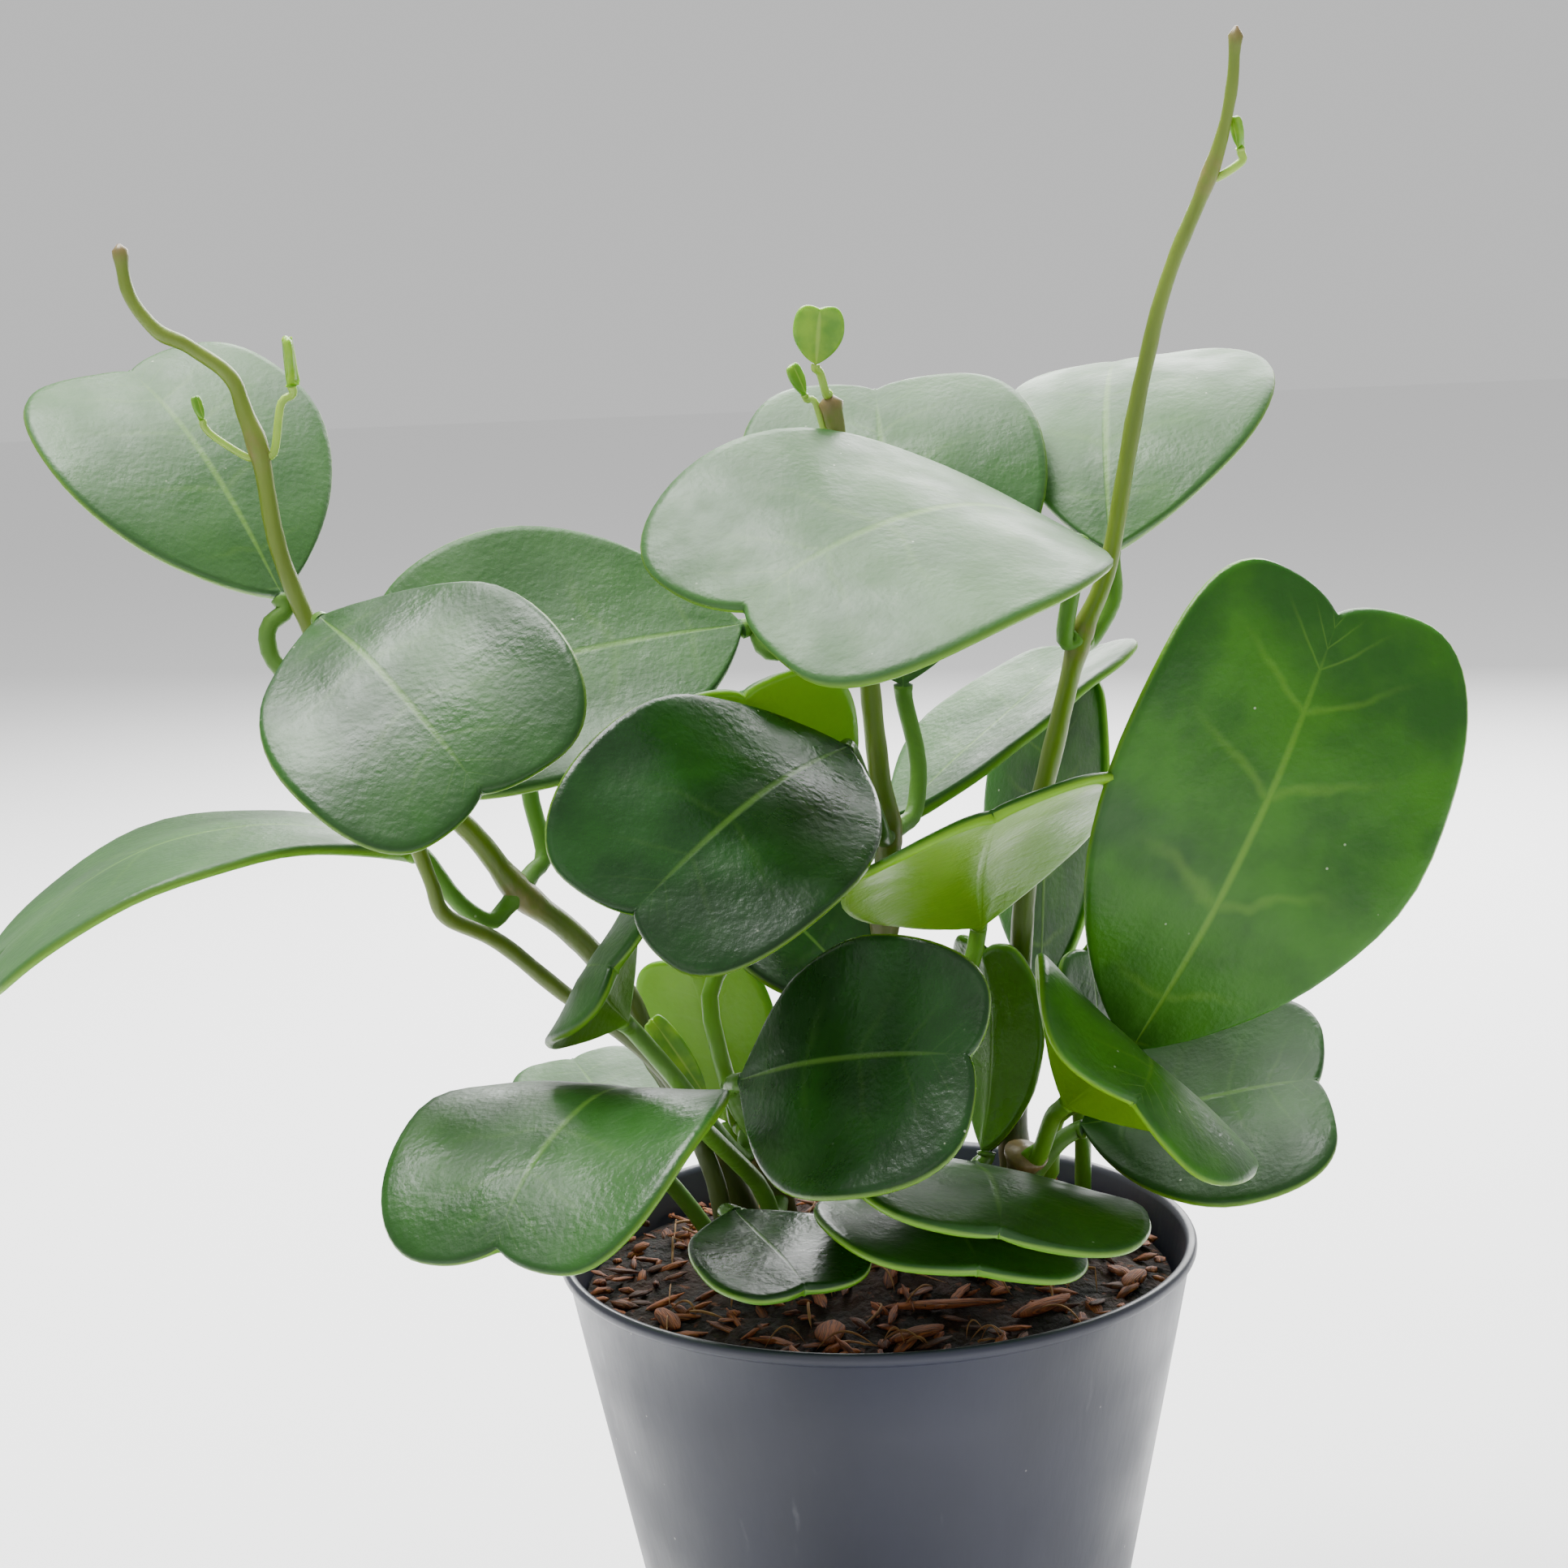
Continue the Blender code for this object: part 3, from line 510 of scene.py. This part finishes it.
def add_stem(name, seed):
    """A stem: a round section along its route, swollen at each node, rounded off at the tip."""
    foot, tip, _ = STEMS[name]
    route = stem_route(name)
    share = np.linspace(0, 1, len(route))
    knob = np.zeros(len(route))
    for height in carried_heights(name):
        knob = np.maximum(knob, np.exp(-((route[:, 2] - height) / 2.6) ** 2))
    radius = (foot + (tip - foot) * share) * (1 + 0.28 * knob)
    from_end = np.linalg.norm(route - route[-1], axis=-1)
    radius = radius * (1 + 0.35 * np.exp(-((from_end - 1.5) / 1.6) ** 2))
    radius *= np.sqrt(np.clip(from_end / 0.9, 0.05, 1))
    across, up = carried_frames(route, np.array([1.0, 0.0, 0.0]))
    turn = np.linspace(0, 2 * np.pi, STEM_AROUND, endpoint=False)[:, None]
    spoke = np.cos(turn) * across[:, None] + np.sin(turn) * up[:, None]
    rings = route[:, None] + radius[:, None, None] * spoke
    rings += spoke * wavy(rings, 9.0, seed)[..., None] * 0.12
    points, faces = closed_skin(rings)
    end = np.exp(-(from_end / 2.2) ** 2)
    guide = np.repeat(np.stack([(route[:, 2] - 95) / 130, knob, end], axis=-1), STEM_AROUND, axis=0)
    return add_piece(f"{name}_skin", points, faces, STEM_PAINT, name, guide)


# ---------------------------------------------------------------- leaves

def half_outline(t, rise):
    """Edge of half a blade, three cubic Bezier arcs from stalk (t=0) round the lobe to the notch (t=1)."""
    arcs = np.array((((0, 0), (0.33, 0.05), (1, WIDEST - 0.34), (1, WIDEST)),
                     ((1, WIDEST), (1, WIDEST + 0.25), (0.82, 1 + rise), (0.48, 1 + rise)),
                     ((0.48, 1 + rise), (0.22, 1 + rise), (0.06, 1 + 0.45 * rise), (0, 1))), float)
    arc = np.minimum((t * 3).astype(int), 2)
    s = (t * 3 - arc)[:, None]
    a, b, c, d = np.moveaxis(arcs[arc], 1, 0)
    return (1 - s) ** 3 * a + 3 * (1 - s) ** 2 * s * b + 3 * (1 - s) * s ** 2 * c + s ** 3 * d


def blade_axes(base, notch, facing):
    """Along, across and facing unit vectors of a blade, and its length."""
    along = np.asarray(notch, float) - base
    length = np.linalg.norm(along)
    along = along / length
    up = np.asarray(facing, float)
    up = unit(up - (up @ along) * along)
    return along, np.cross(along, up), up, length


def rib_positions():
    """Places round a rib's section: -1 to 1 over the upper face, then back underneath, and the face."""
    top = np.sin(np.linspace(-np.pi / 2, np.pi / 2, 2 * HALF_RIB + 1))
    place = np.concatenate([top, top[-2:0:-1]])
    face = np.concatenate([np.ones(len(top)), -np.ones(len(top) - 2)])
    face[np.abs(place) == 1] = 0
    return place, face


def blade_rings(base, notch, facing, width, cup, arch, skew, rise, thickness, seed):
    """Closed rings across the blade, each rib running from the midrib out to the edge.

    The blade is a height field over its plane: a parabola along it (arch), one across it (cup) and
    soft waves, thickened along its own normal, rounded at the edge, with the midrib sunk above and
    keeled below.
    """
    along, across, up, length = blade_axes(base, notch, facing)
    t = np.linspace(0, 1, BLADE_STATIONS + 1)[1:-1]
    t = 0.5 * t + 0.5 * np.sin(t * np.pi / 2) ** 2
    edge = half_outline(t, rise)
    rib_foot = edge[:, 1] * (0.72 + 0.28 * t ** 2)
    u, face = rib_positions()
    half = width / 2
    x = edge[:, :1] * u
    y = rib_foot[:, None] + (edge[:, 1:] - rib_foot[:, None]) * np.abs(u)
    reach = x * half * (1 + skew * np.sign(x))
    flat = np.stack([reach, y * length], axis=-1)
    height = 4 * arch * length * y * (1 - y) + cup * half * x ** 2
    height += 0.016 * width * wavy(flat, 1.1 * width, seed, 2) * np.clip(y * 3, 0, 1)
    height += 0.010 * width * np.abs(u) ** 4 * wavy(flat, 0.45 * width, seed + 1, 1) * np.clip(y * 3, 0, 1)
    normal = unit(up - (2 * cup * x)[..., None] * across - (4 * arch * (1 - 2 * y))[..., None] * along)
    round_off = thickness / 2
    inset = (1 - np.abs(u)) * np.maximum(edge[:, :1] * half, round_off)
    body = np.sqrt(np.clip(1 - (1 - np.clip(inset / round_off, 0, 1)) ** 2, 0, 1)) * round_off
    body *= 1 + 0.25 * np.exp(-(reach / (0.18 * width)) ** 2) + 0.6 * np.exp(-t / 0.10)[:, None]
    midrib = np.exp(-(reach / (0.022 * width + 0.3)) ** 2) * np.clip(1 - 0.75 * y, 0, 1)
    relief = np.where(face > 0, -0.22, 0.45) * thickness * np.clip(t / 0.12, 0, 1)[:, None]
    body += midrib * relief * np.abs(face)
    rings = base + flat[..., 1:] * along + flat[..., :1] * across + height[..., None] * up
    rings = rings + (face * body)[..., None] * normal
    guide = np.stack([np.broadcast_to(u, x.shape), np.broadcast_to(t[:, None], x.shape),
                      np.broadcast_to(face, x.shape)], axis=-1)
    return rings, guide


def stalk_rings(foot, leave, stops, base, along, across, radius):
    """Round rings of the stalk, thicker at both ends, ordered as the blade's rings are."""
    reach = np.linalg.norm(base - foot)
    route = smooth_route([foot, foot + 0.15 * reach * leave, *stops, base - 0.12 * reach * along, base], 12)
    pick = np.linspace(0, len(route) - 1, STALK_STATIONS).round().astype(int)
    route = route[pick]
    side, up = carried_frames(route[::-1], across)
    side, up = side[::-1, None], up[::-1, None]
    place, face = rib_positions()
    turn = np.where(face >= 0, np.arccos(-place), 2 * np.pi - np.arccos(-place))
    turn = (np.pi - turn)[:, None]
    share = np.linspace(0, 1, len(route))
    girth = radius * (1 + 0.35 * np.exp(-(share / 0.12) ** 2) + 0.12 * np.exp(-((1 - share) / 0.1) ** 2))
    rings = route[:, None] + girth[:, None, None] * (np.cos(turn) * side + np.sin(turn) * up)
    guide = np.zeros(rings.shape)
    guide[..., 0] = 0.012
    guide[..., 2] = 0.1
    return rings, guide


def carrier_foot(carrier, toward):
    """Where a stalk starts, just inside its stem or the mix, and its first direction."""
    if isinstance(carrier[0], str):
        route = stem_route(carrier[0], 2)
        near = np.abs(route[:, 2] - carrier[1]).argmin()
        tangent = unit(np.gradient(route, axis=0))[near]
        leave = np.asarray(toward, float) - route[near]
        leave = unit(leave - (leave @ tangent) * tangent)
        return route[near] + 0.6 * leave, leave
    return np.array([*carrier, soil_height(*carrier) - 2.0]), np.array([0.0, 0.0, 1.0])


def add_leaf(name, carrier, stops, base, notch, facing, width, cup, arch, skew, seed,
             radius=STALK_RADIUS, rise=LOBE_RISE, thickness=BLADE_THICKNESS, paint=None, slot="leaf"):
    """One leaf: the stalk's round section flattens into the blade and closes at the notch."""
    base = np.asarray(base, float)
    along, across, up, _ = blade_axes(base, notch, facing)
    foot, leave = carrier_foot(carrier, stops[0] if stops else base)
    stops = [np.asarray(stop, float) for stop in stops]
    stalk, stalk_guide = stalk_rings(foot, leave, stops, base, unit(along + 4 * arch * up), across, radius)
    blade, blade_guide = blade_rings(base, notch, facing, width, cup, arch, skew, rise, thickness, seed)
    points, faces = closed_skin(np.vstack([stalk, blade]), np.asarray(notch, float))
    guide = np.vstack([np.vstack([stalk_guide, blade_guide]).reshape(-1, 3), [0.0, 1.0, 0.0]])
    paint = paint or LEAF_PAINTS[FINISH[name]]
    return add_piece(f"{name}_skin", points, faces, paint, name, guide)


# ---------------------------------------------------------------- pot and potting mix

def turned(profile, sides):
    """Rings of a profile of (radius, height) pairs turned about Z, one row for each pair."""
    radius, height = np.asarray(profile, float).T[..., None]
    turn = np.arange(sides) * 2 * np.pi / sides
    return np.stack([radius * np.cos(turn), radius * np.sin(turn), height + 0 * turn], axis=-1)


def add_pot():
    """The pot: thin tapering wall, rolled lip, stepped foot, and a floor with drain holes cut out."""
    high = np.array(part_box("pot")[1]) / MM
    lip, top = high[0], high[2]
    base, wall = POT_BASE_RADIUS, POT_WALL
    slope = (lip - 1.1 - base) / (top - 2.7)
    bend = np.linspace(-np.pi / 2, np.pi / 2, 9)
    rolled = [(lip - 0.75 + 0.75 * np.cos(a), top - 1.1 + 1.1 * np.sin(a)) for a in bend]
    profile = [(base - 3.0, 0.0), (base - 0.9, 0.0), (base - 0.25, 0.25), (base, 0.9),
               (base + slope * 8, 8.0), (base + slope * 45, 45.0), (base + slope * 80, 80.0),
               (lip - 1.15, top - 2.6), *rolled,
               (lip - 1.6, top - 0.25), (lip - 2.1, top - 1.2), (base + slope * 60 - wall, 60.0),
               (base - wall + 0.1, POT_FLOOR + 1.0), (base - wall - 0.9, POT_FLOOR)]
    points, faces = closed_skin(turned(profile, POT_SIDES))
    pot = add_piece("pot_shell", points, faces, POT_PAINT, "pot")
    for hole in range(DRAIN_HOLES):
        angle = hole * 2 * np.pi / DRAIN_HOLES
        middle = DRAIN_CIRCLE * np.array([np.cos(angle), np.sin(angle), 0])
        rim = turned([(DRAIN_RADIUS, -2.0), (DRAIN_RADIUS, 4.0)], 32) + middle
        points, faces = closed_skin(rim)
        mesh = bpy.data.meshes.new("drain")
        mesh.from_pydata((points * MM).tolist(), [], faces)
        cutter = bpy.data.objects.new("drain", mesh)
        bpy.context.scene.collection.objects.link(cutter)
        cut = pot.modifiers.new("drain", "BOOLEAN")
        cut.operation = "DIFFERENCE"
        cut.object = cutter
        shape = bpy.data.meshes.new_from_object(pot.evaluated_get(bpy.context.evaluated_depsgraph_get()))
        pot.modifiers.clear()
        pot.data = shape
        bpy.data.objects.remove(cutter, do_unlink=True)
    pot.data.set_sharp_from_angle(angle=np.radians(50))


def add_mix():
    """The potting mix: it fills the pot, mounds up round the stems and is crumbly on top."""
    low, high = (np.array(corner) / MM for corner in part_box("soil"))
    sides, rows = 200, 64
    top_radius = high[0]
    share = np.linspace(1, 1 / rows, rows)
    rings = turned(np.column_stack([top_radius * share, np.zeros(rows)]), sides)
    flat = rings[..., :2]
    fade = np.clip((1 - share) * 10, 0, 1)[:, None]
    crumbs = 0.9 * wavy(flat, 14, 3, 4) + 0.8 * np.abs(wavy(flat, 5, 4, 3))
    rings[..., 2] = SOIL_EDGE + fade * (soil_height(flat[..., 0], flat[..., 1]) - SOIL_EDGE + crumbs - 0.3)
    foot = turned([(MIX_FOOT_RADIUS, low[2])], sides)
    points, faces = closed_skin(np.vstack([foot, rings]), np.array([0, 0, soil_height(0, 0)]))
    add_piece("potting_mix_body", points, faces, MIX_PAINT, "soil")


def tube_faces(count, stations, around):
    """Faces of many capped tubes at once, whose points run tube by tube and ring by ring."""
    index = np.arange(count * stations * around).reshape(count, stations, around)
    here, above = index[:, :-1], index[:, 1:]
    quads = np.stack([here, np.roll(here, -1, 2), np.roll(above, -1, 2), above], axis=-1).reshape(-1, 4)
    return quads.tolist() + index[:, 0, ::-1].tolist() + index[:, -1].tolist()


def splinters(middle, heading, size, lean, seed):
    """Many splinters at once: a ring section of 8 along 5 stations, torn to ragged tapered ends."""
    random = np.random.default_rng(seed)
    count = len(middle)
    station = np.linspace(-0.5, 0.5, 5)
    turn = np.linspace(0, 2 * np.pi, 8, endpoint=False)
    girth = (1 - 0.75 * np.abs(station * 2) ** 3)[None, :, None] * random.uniform(0.72, 1.2, (count, 5, 8))
    ragged = random.uniform(-0.09, 0.09, (count, 5, 8))
    local = np.stack([(station[None, :, None] + ragged) * size[:, 0, None, None],
                      0.5 * np.cos(turn) * girth * size[:, 1, None, None],
                      0.5 * np.sin(turn) * girth * size[:, 2, None, None]], axis=-1)
    along = unit(np.stack([np.cos(heading), np.sin(heading), lean], axis=-1))
    up = unit(np.array([0, 0, 1.0]) - along * along[:, 2:])
    axes = np.stack([along, np.cross(up, along), up], axis=1)
    points = np.einsum("nabi,nij->nabj", local, axes) + middle[:, None, None]
    tone = np.broadcast_to(random.uniform(0, 1, (count, 1, 1)), local.shape[:3])
    guide = np.stack([local[..., 0] + 9 * tone, local[..., 1] * 2.0, tone], axis=-1)
    return points.reshape(-1, 3), tube_faces(count, 5, 8), guide.reshape(-1, 3)


def add_chips():
    """The large chips one by one, then the small litter of chips and splinters as one piece."""
    for number, (name, (x, y, heading, length, width, thickness)) in enumerate(BARK.items()):
        middle = np.array([[x, y, soil_height(x, y) + 0.45 * thickness + 0.3]])
        size = np.array([[length, width, thickness]])
        points, faces, guide = splinters(middle, np.radians([heading]), size, np.array([0.05]), 50 + number)
        guide[:, 2] = 0.12 * (number % 4)
        piece = add_piece(f"{name}_splinter", points, faces, BARK_PAINT, name, guide)
        soften = piece.modifiers.new("soften", "SUBSURF")
        soften.levels = soften.render_levels = 1
    random = np.random.default_rng(12)
    count = LITTER_COUNT
    reach = LITTER_REACH * np.sqrt(random.uniform(0, 1, count))
    angle = random.uniform(0, 2 * np.pi, count)
    x, y = reach * np.cos(angle), reach * np.sin(angle)
    length = random.uniform(2.5, 8.5, count) * np.clip((54 - reach) / 12, 0.35, 1)
    size = np.stack([length, random.uniform(0.8, 2.8, count), random.uniform(0.5, 1.5, count)], axis=-1)
    middle = np.stack([x, y, soil_height(x, y) + random.uniform(0.1, 1.3, count)], axis=-1)
    lean = random.normal(0, 0.22, count)
    points, faces, guide = splinters(middle, random.uniform(0, 2 * np.pi, count), size, lean, 13)
    add_piece("bark_litter", points, faces, BARK_PAINT, None, guide)


def add_fibres():
    """Coarse fibres curling over the mix: thin tubes that rise and fall on a bent path."""
    random = np.random.default_rng(21)
    count, stations, around = FIBRE_COUNT, 12, 5
    reach, angle = FIBRE_REACH * np.sqrt(random.uniform(0, 1, count)), random.uniform(0, 2 * np.pi, count)
    start = np.stack([reach * np.cos(angle), reach * np.sin(angle)], axis=-1)
    s = np.linspace(0, 1, stations)[None]
    heading = random.uniform(0, 2 * np.pi, (count, 1)) + random.uniform(-2.4, 2.4, (count, 1)) * s
    step = random.uniform(4, 13, (count, 1)) / stations
    x = np.clip(start[:, :1] + np.cumsum(np.cos(heading) * step, axis=1), -36, 36)
    y = np.clip(start[:, 1:] + np.cumsum(np.sin(heading) * step, axis=1), -36, 36)
    hump = random.uniform(0.3, 3.2, (count, 1)) * np.sin(np.pi * s) + 0.8
    centre = np.stack([x, y, soil_height(x, y) + hump], axis=-1)
    turn = np.linspace(0, 2 * np.pi, around, endpoint=False)
    side = np.stack([-np.sin(heading), np.cos(heading), 0 * heading], axis=-1)[:, :, None]
    radius = (random.uniform(0.12, 0.3, (count, 1)) * (1.05 - np.abs(2 * s - 1) ** 4))[..., None, None]
    spoke = np.cos(turn)[:, None] * side + np.sin(turn)[:, None] * np.array([0, 0, 1.0])
    points = centre[:, :, None] + radius * spoke
    faces = tube_faces(count, stations, around)
    guide = np.stack(np.broadcast_arrays(8 * s[..., None], turn, (angle / 12)[:, None, None]), axis=-1)
    add_piece("bark_fibres", points.reshape(-1, 3), faces, FIBRE_PAINT, None, guide.reshape(-1, 3))


# ---------------------------------------------------------------- studio

def add_studio():
    """Pale floor, even white surroundings, and soft lamps behind, above and in front."""
    bpy.ops.mesh.primitive_plane_add(size=8.0, location=(0, 0, 0))
    floor = bpy.context.object
    floor.name = "studio_floor"
    sweep = Paint("studio_floor_paper", 0.9)
    sweep.colour((0.92, 0.92, 0.92, 1.0))
    floor.data.materials.append(sweep.material)
    world = bpy.data.worlds.new("studio_world")
    world.use_nodes = True
    world.node_tree.nodes["Background"].inputs["Color"].default_value = (1.0, 1.0, 1.0, 1.0)
    world.node_tree.nodes["Background"].inputs["Strength"].default_value = 0.7
    bpy.context.scene.world = world
    lamps = {"back_softbox": ((0.2, 0.8, 0.7), 0.9, 26.0), "top_softbox": ((-0.25, 0.15, 1.0), 0.5, 20.0),
             "front_fill": ((-0.5, -1.0, 0.6), 0.8, 2.0)}
    aim = np.array([0.0, 0.0, 0.17])
    for name, (spot, size, watts) in lamps.items():
        light = bpy.data.lights.new(name, "AREA")
        light.size, light.energy = size, watts
        lamp = bpy.data.objects.new(name, light)
        back = unit(np.array(spot) - aim)
        right = unit(np.cross([0, 0, 1.0], back))
        turn = np.column_stack([right, np.cross(back, right), back])
        lamp.matrix_world = Matrix.Translation(spot) @ Matrix(turn.tolist()).to_4x4()
        bpy.context.scene.collection.objects.link(lamp)


def add_camera():
    """A 67 mm view from the front, looking down about eleven degrees, rolled two degrees."""
    tilt, roll, distance = np.radians(10.68), np.radians(-2.335), 0.492
    aim = np.array([-0.013, 0.0, 0.1753])
    back = np.array([0, -np.cos(tilt), np.sin(tilt)])
    level = unit(np.cross(-back, [0, 0, 1.0]))
    rise = np.cross(level, -back)
    right = level * np.cos(roll) + rise * np.sin(roll)
    up = rise * np.cos(roll) - level * np.sin(roll)
    view = bpy.data.cameras.new("camera")
    view.sensor_width = 36.0
    view.lens = 67.08
    view.clip_start = 0.01
    camera = bpy.data.objects.new("camera", view)
    turn = Matrix(np.column_stack([right, up, back]).tolist()).to_4x4()
    camera.matrix_world = Matrix.Translation((aim + distance * back).tolist()) @ turn
    bpy.context.scene.collection.objects.link(camera)
    bpy.context.scene.camera = camera


add_camera()
add_studio()
add_pot()
add_mix()
add_chips()
add_fibres()
for number, stem in enumerate(STEMS):
    add_stem(stem, 300 + number)
for number, (leaf, shape) in enumerate(LEAVES.items()):
    add_leaf(leaf, *shape, seed=100 + 2 * number)
for number, (leaf, (*shape, girth, rise, thick)) in enumerate(YOUNG.items()):
    add_leaf(leaf, *shape, seed=200 + 2 * number, radius=girth, rise=rise, thickness=thick,
             paint=YOUNG_PAINT, slot="young_leaf")
